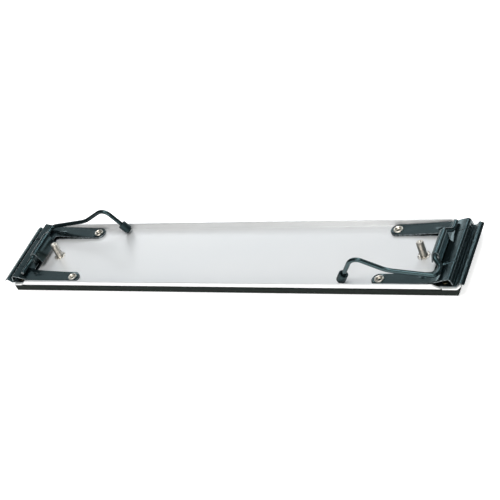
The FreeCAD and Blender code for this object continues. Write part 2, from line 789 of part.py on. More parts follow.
def make_clamp(side):
    jaw_face = FLOOR + " + jaw_thick"
    saddle_face = jaw_face + " + saddle_thick"
    return [
        make_lower_jaw(side + "_lower_jaw"),
        make_spring_jaw(side + "_spring_jaw"),
        make_saddle(side + "_saddle"),
        make_lever(side + "_clamp_lever"),
        make_cap(side + "_lever_tip"),
        make_arm_rivets(side + "_arm_rivets"),
        make_small_rivets(side + "_crossbar_rivets", "crossbar_rivet_x", "crossbar_rivet_y", jaw_face),
        make_small_rivets(side + "_saddle_rivets", "saddle_rivet_x", "saddle_rivet_y", saddle_face),
        make_stud(side + "_mount_stud"),
        make_washer(side + "_push_washer"),
    ]


pieces = [make_plate(), make_sole()]
pieces += make_clamp("right")
half_turn = FreeCAD.Placement(FreeCAD.Vector(), FreeCAD.Rotation(FreeCAD.Vector(0, 0, 1), 180))
for twin in make_clamp("left"):
    twin.Placement = half_turn.multiply(twin.Placement)
    pieces.append(twin)
doc.recompute()

for item in doc.Objects:
    if "Invalid" in item.State or "Error" in item.State:
        raise RuntimeError(f"{item.Name} failed: {item.State}")
for piece in pieces:
    if piece.Shape.isNull() or not piece.Shape.isValid():
        raise RuntimeError(f"{piece.Label} has no valid shape")

os.makedirs("parts", exist_ok=True)
for piece in pieces:
    piece.Shape.exportStep(os.path.join("parts", piece.Label + ".step"))
    print(f"{piece.Label}: {len(piece.Shape.Solids)} solid(s), {piece.Shape.Volume:.1f} mm3")
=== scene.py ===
import math

import bmesh
import bpy
from mathutils import Matrix, Vector, noise


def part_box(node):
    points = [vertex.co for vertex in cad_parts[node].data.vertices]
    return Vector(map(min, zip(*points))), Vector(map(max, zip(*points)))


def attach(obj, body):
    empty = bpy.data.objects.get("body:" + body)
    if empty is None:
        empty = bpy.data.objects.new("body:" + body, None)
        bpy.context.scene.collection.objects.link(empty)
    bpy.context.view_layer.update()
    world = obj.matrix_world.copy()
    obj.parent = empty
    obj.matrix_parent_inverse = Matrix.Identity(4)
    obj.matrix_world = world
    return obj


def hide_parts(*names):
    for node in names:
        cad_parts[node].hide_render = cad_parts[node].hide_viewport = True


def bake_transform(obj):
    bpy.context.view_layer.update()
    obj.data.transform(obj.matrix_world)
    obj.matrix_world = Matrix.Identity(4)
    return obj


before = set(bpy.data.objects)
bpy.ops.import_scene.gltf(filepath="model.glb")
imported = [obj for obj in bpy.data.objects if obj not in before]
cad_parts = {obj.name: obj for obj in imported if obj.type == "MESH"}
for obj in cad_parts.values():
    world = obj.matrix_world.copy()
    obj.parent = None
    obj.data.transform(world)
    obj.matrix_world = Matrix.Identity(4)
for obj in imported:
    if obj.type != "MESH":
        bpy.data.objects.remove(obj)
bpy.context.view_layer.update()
MM = 0.001
SIDES = (("right", 1), ("left", -1))

# Sheet plate. One blank of light alloy, 1.5 mm thick, folded up along both sides and both ends.
# The folding is the maker's: the blank is cut flat, then every point is carried round the bends.

plate_low, plate_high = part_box("base_plate")
sole_low, sole_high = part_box("foam_pad")
lower_low, lower_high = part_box("right_lower_jaw")
FLOOR = lower_low.z / MM
PLATE_THICK = 1.46
PLATE_MID = FLOOR - 0.75
PLATE_UNDER = PLATE_MID - 0.75
SIDE_FOLD = 34.43
SIDE_TOP = (plate_high.y / MM - 0.74, plate_high.z / MM - 0.18)
END_FOLD = 200.49
END_TIP = (plate_high.x / MM - 0.5, FLOOR + 2.54)
SIDE_FULL = 183.0
SIDE_GONE = 188.4
TAB_START = 189.0
NOTCH_START = 196.4
NOTCH_EDGE = 31.0
HALF_WIDTH = 35.0
# Extent of the painted shade on the plate's upturned ends, under the fixed jaw's grip holes.
SHADE_START = END_FOLD + 0.4
SHADE_HALF = 32.0


def folded_run(corners, radii):
    """A side view of bent sheet: straight runs and tangent arcs, as a list of pieces with lengths."""
    spots = [Vector(corner) for corner in corners]
    pieces = []
    last = spots[0]
    for number, radius in enumerate(radii, start=1):
        back = (spots[number - 1] - spots[number]).normalized()
        ahead = (spots[number + 1] - spots[number]).normalized()
        turn = math.pi - back.angle(ahead)
        reach = radius * math.tan(turn / 2)
        begin = spots[number] + back * reach
        pieces.append(("line", last, -back, (begin - last).length))
        left = (-back).x * ahead.y - (-back).y * ahead.x > 0
        pieces.append(("arc", begin, -back, radius * turn, radius if left else -radius))
        last = spots[number] + ahead * reach
    pieces.append(("line", last, (spots[-1] - last).normalized(), (spots[-1] - last).length))
    return pieces


def on_run(run, distance):
    """Where a distance along the sheet comes to lie: the point and the sheet's direction there."""
    for number, piece in enumerate(run):
        if distance <= piece[3] or number == len(run) - 1:
            break
        distance -= piece[3]
    begin, heading = piece[1], piece[2]
    if piece[0] == "line":
        return begin + heading * distance, heading
    radius = piece[4]
    angle = distance / radius
    inward = Vector((-heading.y, heading.x))
    centre = begin + inward * radius
    spoke = Matrix.Rotation(angle, 2) @ (begin - centre)
    return centre + spoke, Matrix.Rotation(angle, 2) @ heading


def run_length(run):
    return sum(piece[3] for piece in run)


def bend_cuts(run, step):
    """Distances at which the blank is cut so that it bends smoothly."""
    cuts = []
    travelled = 0.0
    for piece in run:
        if piece[0] == "arc":
            count = max(3, math.ceil(piece[3] / step))
            cuts += [travelled + piece[3] * share / count for share in range(count + 1)]
        travelled += piece[3]
    return cuts


def blank(name, outlines):
    """A flat blank from closed outlines in millimetres: the first is its edge, the others are holes."""
    curve = bpy.data.curves.new(name, "CURVE")
    curve.dimensions = "2D"
    curve.fill_mode = "BOTH"
    for outline in outlines:
        spline = curve.splines.new("POLY")
        spline.points.add(len(outline) - 1)
        for point, (across, along) in zip(spline.points, outline):
            point.co = (across, along, 0, 1)
        spline.use_cyclic_u = True
    shape = bpy.data.objects.new(name + "_cut", curve)
    bpy.context.scene.collection.objects.link(shape)
    bpy.context.view_layer.update()
    graph = bpy.context.evaluated_depsgraph_get()
    mesh = bpy.data.meshes.new_from_object(shape.evaluated_get(graph))
    mesh.materials.clear()
    bpy.data.objects.remove(shape)
    bpy.data.curves.remove(curve)
    sheet = bmesh.new()
    sheet.from_mesh(mesh)
    bpy.data.meshes.remove(mesh)
    bmesh.ops.remove_doubles(sheet, verts=sheet.verts, dist=1e-4)
    return sheet


def cut_across(sheet, axis, places):
    normal = Vector((1, 0, 0)) if axis == 0 else Vector((0, 1, 0))
    for place in places:
        everything = sheet.verts[:] + sheet.edges[:] + sheet.faces[:]
        bmesh.ops.bisect_plane(sheet, geom=everything, plane_co=normal * place, plane_no=normal, dist=1e-4)


def ring(across, along, radius, count=20):
    """A round hole's outline."""
    angles = [2 * math.pi / count * step for step in range(count)]
    return [(across + radius * math.cos(angle), along + radius * math.sin(angle)) for angle in angles]


def into_piece(name, shape, materials):
    """Turns a finished bmesh into a piece of the scene."""
    bmesh.ops.recalc_face_normals(shape, faces=shape.faces)
    mesh = bpy.data.meshes.new(name)
    shape.to_mesh(mesh)
    shape.free()
    for material in materials:
        mesh.materials.append(material)
    piece = bpy.data.objects.new(name, mesh)
    bpy.context.scene.collection.objects.link(piece)
    return piece


def settle(piece, sharp=35):
    """Applies the modifiers, so that the mesh is final, and marks its sharp edges."""
    bpy.context.view_layer.update()
    graph = bpy.context.evaluated_depsgraph_get()
    final = bpy.data.meshes.new_from_object(piece.evaluated_get(graph))
    old = piece.data
    piece.modifiers.clear()
    piece.data = final
    bpy.data.meshes.remove(old)
    final.name = piece.name
    final.shade_smooth()
    final.set_sharp_from_angle(angle=math.radians(sharp))
    return piece


def outer_rim(flat):
    """The edge vertices of a blank's outline, without those round its holes."""
    loops = []
    waiting = {vertex for vertex in flat.verts if vertex.is_boundary}
    while waiting:
        loop = [waiting.pop()]
        for vertex in loop:
            for edge in vertex.link_edges:
                other = edge.other_vert(vertex)
                if edge.is_boundary and other in waiting:
                    waiting.remove(other)
                    loop.append(other)
        loops.append(loop)
    return set(max(loops, key=lambda loop: max(v.co.x for v in loop) - min(v.co.x for v in loop)))


def sheet_metal(name, flat, carry, thickness, cuts, materials):
    """Gives a flat blank its thickness and deburred edges, and carries it round the bends."""
    edge = min(0.2, thickness * 0.2)
    bmesh.ops.inset_region(
        flat, faces=flat.faces[:], thickness=edge, use_boundary=True, use_even_offset=True)
    for axis, places in cuts:
        cut_across(flat, axis, places)
    # The outer rim's faces take the last material; on the jaws and saddles that is the rubbed edge with
    # its painted highlight.
    rim_of_blank = outer_rim(flat)
    shape = bmesh.new()
    skins = []
    for face_up in (1, -1):
        skin = {}
        for vertex in flat.verts:
            lift = thickness / 2 - (edge if vertex.is_boundary else 0)
            skin[vertex] = shape.verts.new(carry(vertex.co, face_up * lift) * MM)
        for face in flat.faces:
            loop = [skin[vertex] for vertex in face.verts]
            made = shape.faces.new(loop if face_up > 0 else loop[::-1])
            if any(vertex in rim_of_blank for vertex in face.verts):
                made.material_index = len(materials) - 1
        skins.append(skin)
    for rim in flat.edges:
        if rim.is_boundary:
            first, second = rim.verts
            loop = [skins[0][first], skins[0][second], skins[1][second], skins[1][first]]
            made = shape.faces.new(loop)
            if first in rim_of_blank:
                made.material_index = len(materials) - 1
    flat.free()
    piece = into_piece(name, shape, materials)
    normals = piece.modifiers.new("normals", "WEIGHTED_NORMAL")
    normals.keep_sharp = True
    return settle(piece, 60)


def new_material(name):
    """A material with a principled shader, ready for its own nodes."""
    material = bpy.data.materials.new(name)
    material.use_nodes = True
    nodes = material.node_tree.nodes
    shader = nodes["Principled BSDF"]
    place = nodes.new("ShaderNodeTexCoord")
    return material, nodes, material.node_tree.links, shader, place.outputs["Object"]


def mottle(nodes, links, place, scale, detail=4.0, roughness=0.55, stretch=None):
    """A noise field in the piece's own space, in marks per metre; stretch draws it out."""
    grain = nodes.new("ShaderNodeTexNoise")
    grain.inputs["Scale"].default_value = scale
    grain.inputs["Detail"].default_value = detail
    grain.inputs["Roughness"].default_value = roughness
    if stretch:
        mapping = nodes.new("ShaderNodeMapping")
        mapping.inputs["Scale"].default_value = stretch
        links.new(place, mapping.inputs["Vector"])
        place = mapping.outputs["Vector"]
    links.new(place, grain.inputs["Vector"])
    return grain.outputs["Fac"]


def between(nodes, links, field, low, high, out_low, out_high):
    """Carries a field's working range to another range of numbers."""
    ranged = nodes.new("ShaderNodeMapRange")
    ranged.inputs["From Min"].default_value = low
    ranged.inputs["From Max"].default_value = high
    ranged.inputs["To Min"].default_value = out_low
    ranged.inputs["To Max"].default_value = out_high
    links.new(field, ranged.inputs["Value"])
    return ranged.outputs["Result"]


def tinted(nodes, links, field, stops):
    """Colours along a field: a list of (place, colour)."""
    ramp = nodes.new("ShaderNodeValToRGB")
    while len(ramp.color_ramp.elements) < len(stops):
        ramp.color_ramp.elements.new(0.5)
    for element, (place, colour) in zip(ramp.color_ramp.elements, stops):
        element.position = place
        element.color = (*colour, 1)
    links.new(field, ramp.inputs["Fac"])
    return ramp.outputs["Color"]


def raised(nodes, links, field, height, strength, shader, under=None):
    """Bump of a real height, in millimetres."""
    bump = nodes.new("ShaderNodeBump")
    bump.inputs["Strength"].default_value = strength
    bump.inputs["Distance"].default_value = height * MM
    links.new(field, bump.inputs["Height"])
    if under is not None:
        links.new(under, bump.inputs["Normal"])
    links.new(bump.outputs["Normal"], shader.inputs["Normal"])
    return bump.outputs["Normal"]


def light_alloy_sheet():
    """Rolled light alloy with a matt silver finish: faint lengthwise rolling, cloudy handling marks."""
    material, nodes, links, shader, place = new_material("light_alloy_sheet")
    cloud = mottle(nodes, links, place, 14, 3, 0.5)
    colour = tinted(nodes, links, cloud, [(0.25, (0.81, 0.83, 0.845)), (0.75, (0.84, 0.85, 0.86))])
    links.new(colour, shader.inputs["Base Color"])
    grain = mottle(nodes, links, place, 900, 3, 0.6, (0.06, 1, 1))
    links.new(between(nodes, links, grain, 0.3, 0.7, 0.31, 0.35), shader.inputs["Roughness"])
    shader.inputs["Metallic"].default_value = 0.4
    raised(nodes, links, grain, 0.004, 0.08, shader)
    return material


def painted_shade_on_plate_ends():
    """Dark colour painted on the plate's upturned ends as shade under the fixed jaw's grip holes, thin and
    uneven.
    """
    material, nodes, links, shader, place = new_material("painted_shade_on_plate_ends")
    cloud = mottle(nodes, links, place, 300, 4, 0.6)
    colour = tinted(nodes, links, cloud, [(0.3, (0.006, 0.010, 0.011)), (0.8, (0.05, 0.06, 0.065))])
    links.new(colour, shader.inputs["Base Color"])
    links.new(between(nodes, links, cloud, 0.3, 0.7, 0.35, 0.6), shader.inputs["Roughness"])
    return material


SIDE_RUN = folded_run([(0, PLATE_MID), (SIDE_FOLD, PLATE_MID), SIDE_TOP], [1.35])
END_RUN = folded_run([(0, PLATE_MID), (END_FOLD, PLATE_MID), END_TIP], [2.2])


def plate_corner(sign_x, sign_y):
    """One corner of the blank, from the middle of a long side to the middle of an end."""
    top = run_length(SIDE_RUN)
    bend_end = SIDE_RUN[0][3] + SIDE_RUN[1][3]
    relief = SIDE_RUN[0][3] - 0.1
    tab = run_length(END_RUN)
    outline = [(0, top), (SIDE_FULL, top), (SIDE_GONE - 0.6, bend_end + 0.2), (SIDE_GONE, bend_end - 1.0)]
    outline += [(SIDE_GONE, relief + 0.2), (SIDE_GONE + 0.2, relief), (TAB_START - 0.2, relief)]
    outline += [(TAB_START, relief + 0.2), (TAB_START, HALF_WIDTH - 0.5), (TAB_START + 0.5, HALF_WIDTH)]
    if sign_x == sign_y:
        outline += [(NOTCH_START, HALF_WIDTH), (NOTCH_START, NOTCH_EDGE), (tab - 0.8, NOTCH_EDGE)]
        outline += [(tab, NOTCH_EDGE - 0.8)]
    else:
        outline += [(tab - 0.8, HALF_WIDTH), (tab, HALF_WIDTH - 0.8)]
    outline += [(tab, 0)]
    return [(sign_x * across, sign_y * along) for across, along in outline]


def fold_plate(spot, lift):
    side = math.copysign(1, spot.y)
    end = math.copysign(1, spot.x)
    across, along = abs(spot.x), abs(spot.y)
    if along > SIDE_RUN[0][3] and across < (SIDE_GONE + TAB_START) / 2:
        place, heading = on_run(SIDE_RUN, along)
        return Vector((end * across, side * (place.x - heading.y * lift), place.y + heading.x * lift))
    place, heading = on_run(END_RUN, across)
    return Vector((end * (place.x - heading.y * lift), side * along, place.y + heading.x * lift))


plate_edge = plate_corner(1, 1)[:-1] + plate_corner(1, -1)[::-1][:-1]
plate_edge += plate_corner(-1, -1)[:-1] + plate_corner(-1, 1)[::-1][:-1]
side_cuts = [sign * place for sign in (-1, 1) for place in bend_cuts(SIDE_RUN, 0.35)]
end_cuts = [sign * place for sign in (-1, 1) for place in bend_cuts(END_RUN, 0.35)]
end_cuts += [20.0 * step for step in range(-9, 10)]
alloy = light_alloy_sheet()
plate_cuts = [(1, side_cuts), (0, end_cuts)]
plate_blank = blank("base_sheet", [plate_edge])
base_sheet = sheet_metal("base_sheet", plate_blank, fold_plate, PLATE_THICK, plate_cuts, [alloy])
# Painted shade: the upward faces of the upturned ends under the grip holes take this dark second material.
base_sheet.data.materials.append(painted_shade_on_plate_ends())
for face in base_sheet.data.polygons:
    beyond = abs(face.center.x) > SHADE_START * MM
    if beyond and abs(face.center.y) < SHADE_HALF * MM and face.normal.z > 0.5:
        face.material_index = 1
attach(base_sheet, "pad")
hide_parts("base_plate")

# Foam sole. A block of black closed-cell sponge glued under the plate. It is sawn to size, so its
# cut faces show torn cells; the right end follows the plate's upturned end.

FOAM_STEP = 1.6
FOAM_PIT = 0.28
SOLE_CUT = 200.6
SAW_LEVELS = (1.2, 2.4, 3.6, 4.8)


def black_sponge():
    """Dark sponge with a faint green cast: fine cells, some caught by the light."""
    material, nodes, links, shader, place = new_material("black_sponge")
    cells = nodes.new("ShaderNodeTexVoronoi")
    cells.inputs["Scale"].default_value = 900
    links.new(place, cells.inputs["Vector"])
    coarse = mottle(nodes, links, place, 420, 5, 0.7)
    colour = tinted(nodes, links, coarse, [(0.34, (0.002, 0.004, 0.003)), (0.66, (0.010, 0.017, 0.014))])
    links.new(colour, shader.inputs["Base Color"])
    links.new(between(nodes, links, coarse, 0.3, 0.7, 0.75, 0.95), shader.inputs["Roughness"])
    under = raised(nodes, links, cells.outputs["Distance"], 0.25, 0.7, shader)
    raised(nodes, links, coarse, 0.35, 0.6, shader, under)
    shader.inputs["Specular IOR Level"].default_value = 0.25
    return material


def foam_block():
    low, high = sole_low / MM, sole_high / MM
    top = PLATE_UNDER
    bend = END_FOLD + 0.29
    side = [(low.x, 0.0), (SOLE_CUT, 0.0), (high.x - 0.05, high.z - 0.05), (bend, top), (low.x, top)]
    block = bmesh.new()
    front = [block.verts.new((across, -HALF_WIDTH, up)) for across, up in side]
    face = block.faces.new(front)
    pulled = bmesh.ops.extrude_face_region(block, geom=[face])
    moved = [item for item in pulled["geom"] if isinstance(item, bmesh.types.BMVert)]
    bmesh.ops.translate(block, verts=moved, vec=(0, 2 * HALF_WIDTH, 0))
    bmesh.ops.recalc_face_normals(block, faces=block.faces)
    rims = [edge for edge in block.edges if max(v.co.z for v in edge.verts) < 0.01]
    rims += [edge for edge in block.edges if abs(edge.verts[0].co.z - edge.verts[1].co.z) > 4]
    bmesh.ops.bevel(block, geom=rims, offset=0.45, segments=2, affect="EDGES")
    return block


foam = foam_block()
cut_across(foam, 0, [sole_low.x / MM + FOAM_STEP * step for step in range(1, int(400 / FOAM_STEP))])
cut_across(foam, 1, [FOAM_STEP * step for step in range(-21, 22)])
for height in SAW_LEVELS:
    everything = foam.verts[:] + foam.edges[:] + foam.faces[:]
    bmesh.ops.bisect_plane(foam, geom=everything, plane_co=(0, 0, height), plane_no=(0, 0, 1), dist=1e-4)
foam.normal_update()
for vertex in foam.verts:
    if vertex.co.z < PLATE_MID - 1.0:
        pit = abs(noise.noise(vertex.co * 0.9)) + 0.6 * abs(noise.noise(vertex.co * 2.3))
        share = 0.15 if vertex.co.z < 0.01 else 1.0
        vertex.co -= vertex.normal * pit * FOAM_PIT * share
for vertex in foam.verts:
    vertex.co *= MM
sole = settle(into_piece("foam_sole", foam, [black_sponge()]), 40)
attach(sole, "pad")
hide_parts("foam_pad")

# Mounting posts. An M6 screw stands up through the plate at each end, nickel plated, its flat head
# sunk in the foam. The thread is cut as a real helix, and the end is chamfered with a small dimple.

POST_X = (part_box("right_mount_stud")[0].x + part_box("right_mount_stud")[1].x) / 2 / MM
POST_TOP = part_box("right_mount_stud")[1].z / MM
POST_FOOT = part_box("right_mount_stud")[0].z / MM
POST_RADIUS = 3.0
THREAD_PITCH = 1.0
THREAD_DEPTH = 0.42
THREAD_SIDES = 40
THREAD_STEPS = 9


def nickel_plate():
    """Bright nickel with a warm cast, slightly clouded, with fine scuffs."""
    material, nodes, links, shader, place = new_material("nickel_plate")
    cloud = mottle(nodes, links, place, 260, 4, 0.6)
    colour = tinted(nodes, links, cloud, [(0.3, (0.62, 0.585, 0.52)), (0.7, (0.86, 0.83, 0.76))])
    links.new(colour, shader.inputs["Base Color"])
    links.new(between(nodes, links, cloud, 0.3, 0.7, 0.24, 0.40), shader.inputs["Roughness"])
    shader.inputs["Metallic"].default_value = 1.0
    scuffs = mottle(nodes, links, place, 1500, 3, 0.6)
    raised(nodes, links, scuffs, 0.02, 0.3, shader)
    return material


def turned(shape, outline, centre, sides=48, axis=None):
    """Adds a lathe-turned solid: outline is (radius, height) from the bottom centre round to the top."""
    turn = axis or Matrix.Identity(3)
    rows = []
    for radius, height in outline:
        if radius < 1e-6:
            rows.append([shape.verts.new(turn @ Vector((0, 0, height)) + centre)])
            continue
        row = []
        for side in range(sides):
            angle = 2 * math.pi * side / sides
            spot = Vector((radius * math.cos(angle), radius * math.sin(angle), height))
            row.append(shape.verts.new(turn @ spot + centre))
        rows.append(row)
    for below, above in zip(rows, rows[1:]):
        for side in range(sides):
            following = (side + 1) % sides
            if len(below) == 1 and len(above) == 1:
                continue
            if len(below) == 1:
                shape.faces.new((below[0], above[following], above[side]))
            elif len(above) == 1:
                shape.faces.new((below[side], below[following], above[0]))
            else:
                shape.faces.new((below[side], below[following], above[following], above[side]))
    return rows


def rounded_outline(corners, radii, steps=4):
    """Softens the corners of a lathe outline with small arcs."""
    result = [Vector(corners[0])]
    for number, radius in enumerate(radii, start=1):
        spot = Vector(corners[number])
        back = Vector(corners[number - 1]) - spot
        ahead = Vector(corners[number + 1]) - spot
        if radius == 0:
            result.append(spot)
            continue
        reach = min(radius, back.length * 0.49, ahead.length * 0.49)
        begin = spot + back.normalized() * reach
        end = spot + ahead.normalized() * reach
        for step in range(steps + 1):
            share = step / steps
            result.append(begin * (1 - share) ** 2 + spot * 2 * share * (1 - share) + end * share ** 2)
    result.append(Vector(corners[-1]))
    return [(spot.x, spot.y) for spot in result]


def threaded_post(name, sign):
    """Head, threaded shank and dimpled end as one closed skin."""
    shape = bmesh.new()
    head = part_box("right_mount_stud")
    head_radius = (head[1].y - head[0].y) / 2 / MM
    rows_of_height = []
    steps = int((POST_TOP - FLOOR) / THREAD_PITCH * THREAD_STEPS)
    outline = [(0, POST_FOOT), (head_radius - 0.4, POST_FOOT), (head_radius, POST_FOOT + 0.4)]
    outline += [(head_radius, PLATE_MID - 0.9), (head_radius - 0.2, PLATE_UNDER)]
    outline += [(POST_RADIUS, PLATE_UNDER), (POST_RADIUS, FLOOR)]
    for step in range(1, steps + 1):
        outline.append((None, FLOOR + (POST_TOP - FLOOR) * step / steps))
    outline += [(POST_RADIUS - 0.95, POST_TOP), (1.1, POST_TOP)]
    outline += [(0.9, POST_TOP - 0.25), (0, POST_TOP - 0.75)]
    for radius, height in outline:
        row = []
        for side in range(THREAD_SIDES):
            angle = 2 * math.pi * side / THREAD_SIDES
            reach = radius
            if radius is None:
                phase = ((height - FLOOR) / THREAD_PITCH - angle / (2 * math.pi)) % 1.0
                groove = min(1.0, max(0.0, abs(phase - 0.5) * 2.6 - 0.15))
                run_in = min(1.0, (height - FLOOR) / 1.2)
                reach = POST_RADIUS - THREAD_DEPTH * groove * run_in
                reach = min(reach, POST_RADIUS - 0.85 + (POST_TOP - height) * 1.1)
            row.append(shape.verts.new((reach * math.cos(angle), reach * math.sin(angle), height)))
        rows_of_height.append(row)
    for below, above in zip(rows_of_height, rows_of_height[1:]):
        for side in range(THREAD_SIDES):
            following = (side + 1) % THREAD_SIDES
            shape.faces.new((below[side], below[following], above[following], above[side]))
    bmesh.ops.remove_doubles(shape, verts=shape.verts, dist=1e-5)
    for vertex in shape.verts:
        vertex.co = (vertex.co + Vector((sign * POST_X, 0, 0))) * MM
    return settle(into_piece(name, shape, [nickel]), 28)


nickel = nickel_plate()
for side, sign in SIDES:
    post = threaded_post(side + "_post", sign)
    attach(post, "pad")
    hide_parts(side + "_mount_stud")

# Star lock washers. Thin spring steel stars pushed down over the posts; their teeth are twisted so
# that they dig into the plate and the thread.

STAR_TEETH = 10
STAR_THICK = 0.38
STAR_TWIST = math.radians(16)
STAR_CLEAR = 0.12


def star_washer(name, sign):
    shape = bmesh.new()
    bore = POST_RADIUS + 0.06
    rim = 3.85
    outside = 4.95
    count = STAR_TEETH * 6
    inner = []
    outer = []
    for step in range(count):
        angle = 2 * math.pi * step / count
        inner.append(shape.verts.new((bore * math.cos(angle), bore * math.sin(angle), 0)))
        outer.append(shape.verts.new((rim * math.cos(angle), rim * math.sin(angle), 0)))
    for step in range(count):
        following = (step + 1) % count
        shape.faces.new((inner[step], outer[step], outer[following], inner[following]))
    for tooth in range(STAR_TEETH):
        first = tooth * 6 + 1
        span = [outer[(first + step) % count] for step in range(4)]
        middle = 2 * math.pi * (first + 1.5) / count
        along = Vector((math.cos(middle), math.sin(middle), 0))
        beside = Vector((-math.sin(middle), math.cos(middle), 0))
        tips = []
        for share in (-0.75, -0.25, 0.25, 0.75):
            lift = math.sin(STAR_TWIST) * share
            tips.append(shape.verts.new(along * outside + beside * share + Vector((0, 0, lift))))
        for step in range(3):
            shape.faces.new((span[step], tips[step], tips[step + 1], span[step + 1]))
    foot = Vector((sign * POST_X, 0, FLOOR + STAR_THICK / 2 + STAR_CLEAR))

    def carry(spot, lift):
        return spot + foot + Vector((0, 0, lift))

    return sheet_metal(name, shape, carry, STAR_THICK, [], [nickel])


for side, sign in SIDES:
    star = star_washer(side + "_star_washer", sign)
    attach(star, "pad")
    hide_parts(side + "_push_washer")

# Fixed lower jaws. U-shaped blanks of 0.8 mm steel, blackened. They lie on the plate; past the
# crossbar the sheet climbs the plate's end and folds over it. A row of punched holes grips the paper.

JAW_THICK = 0.8
JAW_HALF = lower_high.y / MM
ARM_TIP = lower_low.x / MM
ARM_WIDTH = 12.1
ARM_RIVET = (139.0, 27.3)
CROSSBAR = 180.6
CORNER = 2.0
GRIP_PITCH = 3.6
GRIP_ROW = 17


def blued_steel():
    """Satin black finish on spring steel: deep black with a blue-green sheen, faint streaks and dust."""
    material, nodes, links, shader, place = new_material("blued_steel")
    cloud = mottle(nodes, links, place, 60, 4, 0.55)
    colour = tinted(nodes, links, cloud, [(0.3, (0.002, 0.004, 0.005)), (0.7, (0.006, 0.010, 0.011))])
    links.new(colour, shader.inputs["Base Color"])
    fine = mottle(nodes, links, place, 1300, 3, 0.6)
    links.new(between(nodes, links, cloud, 0.3, 0.7, 0.16, 0.24), shader.inputs["Roughness"])
    raised(nodes, links, fine, 0.015, 0.2, shader)
    shader.inputs["Specular IOR Level"].default_value = 0.8
    shader.inputs["Specular Tint"].default_value = (0.56, 0.92, 1.0, 1)
    return material


def rubbed_edge_and_painted_highlight():
    """The same black finish along the sheet's edges, made lighter: partly where handling has thinned it,
    partly a painted highlight for bright lines along the edges.
    """
    material, nodes, links, shader, place = new_material("rubbed_edge_and_painted_highlight")
    wear = mottle(nodes, links, place, 420, 4, 0.65)
    # Painted highlight: the lighter end of this ramp brightens the edges, as well as showing bare steel.
    colour = tinted(nodes, links, wear, [(0.40, (0.03, 0.045, 0.05)), (0.62, (0.30, 0.34, 0.36))])
    links.new(colour, shader.inputs["Base Color"])
    links.new(between(nodes, links, wear, 0.4, 0.65, 0.05, 0.75), shader.inputs["Metallic"])
    links.new(between(nodes, links, wear, 0.3, 0.7, 0.24, 0.38), shader.inputs["Roughness"])
    return material


def arc_points(across, along, radius, start, end, steps):
    """Points on part of a circle, angles in degrees."""
    result = []
    for step in range(steps + 1):
        angle = math.radians(start + (end - start) * step / steps)
        result.append((across + radius * math.cos(angle), along + radius * math.sin(angle)))
    return result


def jaw_outline(start, bar, end, window=None):
    """The U of a jaw in the flat, measured along the sheet: round arm ends, crossbar, straight lip."""
    half = ARM_WIDTH / 2
    middle = JAW_HALF - half
    inner = JAW_HALF - ARM_WIDTH
    outline = [(end, -JAW_HALF + 0.6), (end, JAW_HALF - 0.6), (end - 0.6, JAW_HALF)]
    outline += arc_points(start + half, middle, half, 90, 270, 18)
    outline += arc_points(bar - CORNER, inner - CORNER, CORNER, 90, 0, 5)
    if window:
        outline += [(bar, window[1]), (window[0], window[1]), (window[0], -window[1]), (bar, -window[1])]
    outline += arc_points(bar - CORNER, -inner + CORNER, CORNER, 0, -90, 5)
    outline += arc_points(start + half, -middle, half, 90, 270, 18)
    outline += [(end - 0.6, -JAW_HALF)]
    return outline


def distance_to(run, across):
    """How far along the sheet a place seen in plan lies."""
    low, high = 0.0, run_length(run)
    for step in range(40):
        middle = (low + high) / 2
        if on_run(run, middle)[0].x < across:
            low = middle
        else:
            high = middle
    return low


def folded_jaw(name, run, outlines, sign, dimple=None):
    """A jaw from its flat outlines; a dimple is its place, its size and its height."""
    cuts = [(0, bend_cuts(run, 0.3))]
    if dimple:
        place, beside, size, depth = dimple
        cuts.append((0, [place + size * share / 4 for share in range(-4, 5)]))
        cuts.append((1, [side * beside + size * share / 5 for side in (-1, 1) for share in range(-4, 5)]))

    def carry(flat, lift):
        if dimple:
            across = (flat.x - place) / size
            along = (abs(flat.y) - beside) / (size * 0.7)
            lift += depth * max(0.0, 1 - across ** 2 - along ** 2) ** 0.8
        spot, heading = on_run(run, flat.x)
        return Vector((sign * (spot.x - heading.y * lift), sign * flat.y, spot.y + heading.x * lift))

    return sheet_metal(name, blank(name, outlines), carry, JAW_THICK, cuts, [black, edge_wear_and_painted_highlight])


black = blued_steel()
edge_wear_and_painted_highlight = rubbed_edge_and_painted_highlight()
JAW_FACE = FLOOR + JAW_THICK / 2
LOWER_RUN = folded_run(
    [(ARM_TIP, JAW_FACE), (200.05, JAW_FACE), (203.4, FLOOR + 3.72), (206.6, FLOOR + 2.1)], [1.1, 0.5])
for side, sign in SIDES:
    bar = CROSSBAR - ARM_TIP
    lower_edge = jaw_outline(0, bar, run_length(LOWER_RUN))
    slope_middle = distance_to(LOWER_RUN, 201.6)
    holes = []
    for number in range(GRIP_ROW):
        holes.append(ring(slope_middle, (number - (GRIP_ROW - 1) / 2) * GRIP_PITCH, 0.9, 14))
    lower = folded_jaw(side + "_fixed_jaw", LOWER_RUN, [lower_edge] + holes, sign)
    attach(lower, "pad")
    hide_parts(side + "_lower_jaw")

# Rivets under the jaws. Brass ones pin the fixed jaw to the plate; plain ones hold the saddle's foot.
# Each is a small headed pin with its foot spread under the plate.

CROSSBAR_RIVET = (191.0, 28.6)
SADDLE_RIVET = (189.0, 8.0)


def plain_brass():
    """Brass pin stock, dulled, with brighter spots where the snap tool pressed."""
    material, nodes, links, shader, place = new_material("plain_brass")
    cloud = mottle(nodes, links, place, 500, 4, 0.6)
    colour = tinted(nodes, links, cloud, [(0.3, (0.07, 0.06, 0.035)), (0.7, (0.16, 0.14, 0.09))])
    links.new(colour, shader.inputs["Base Color"])
    links.new(between(nodes, links, cloud, 0.3, 0.7, 0.22, 0.4), shader.inputs["Roughness"])
    shader.inputs["Metallic"].default_value = 1.0
    return material


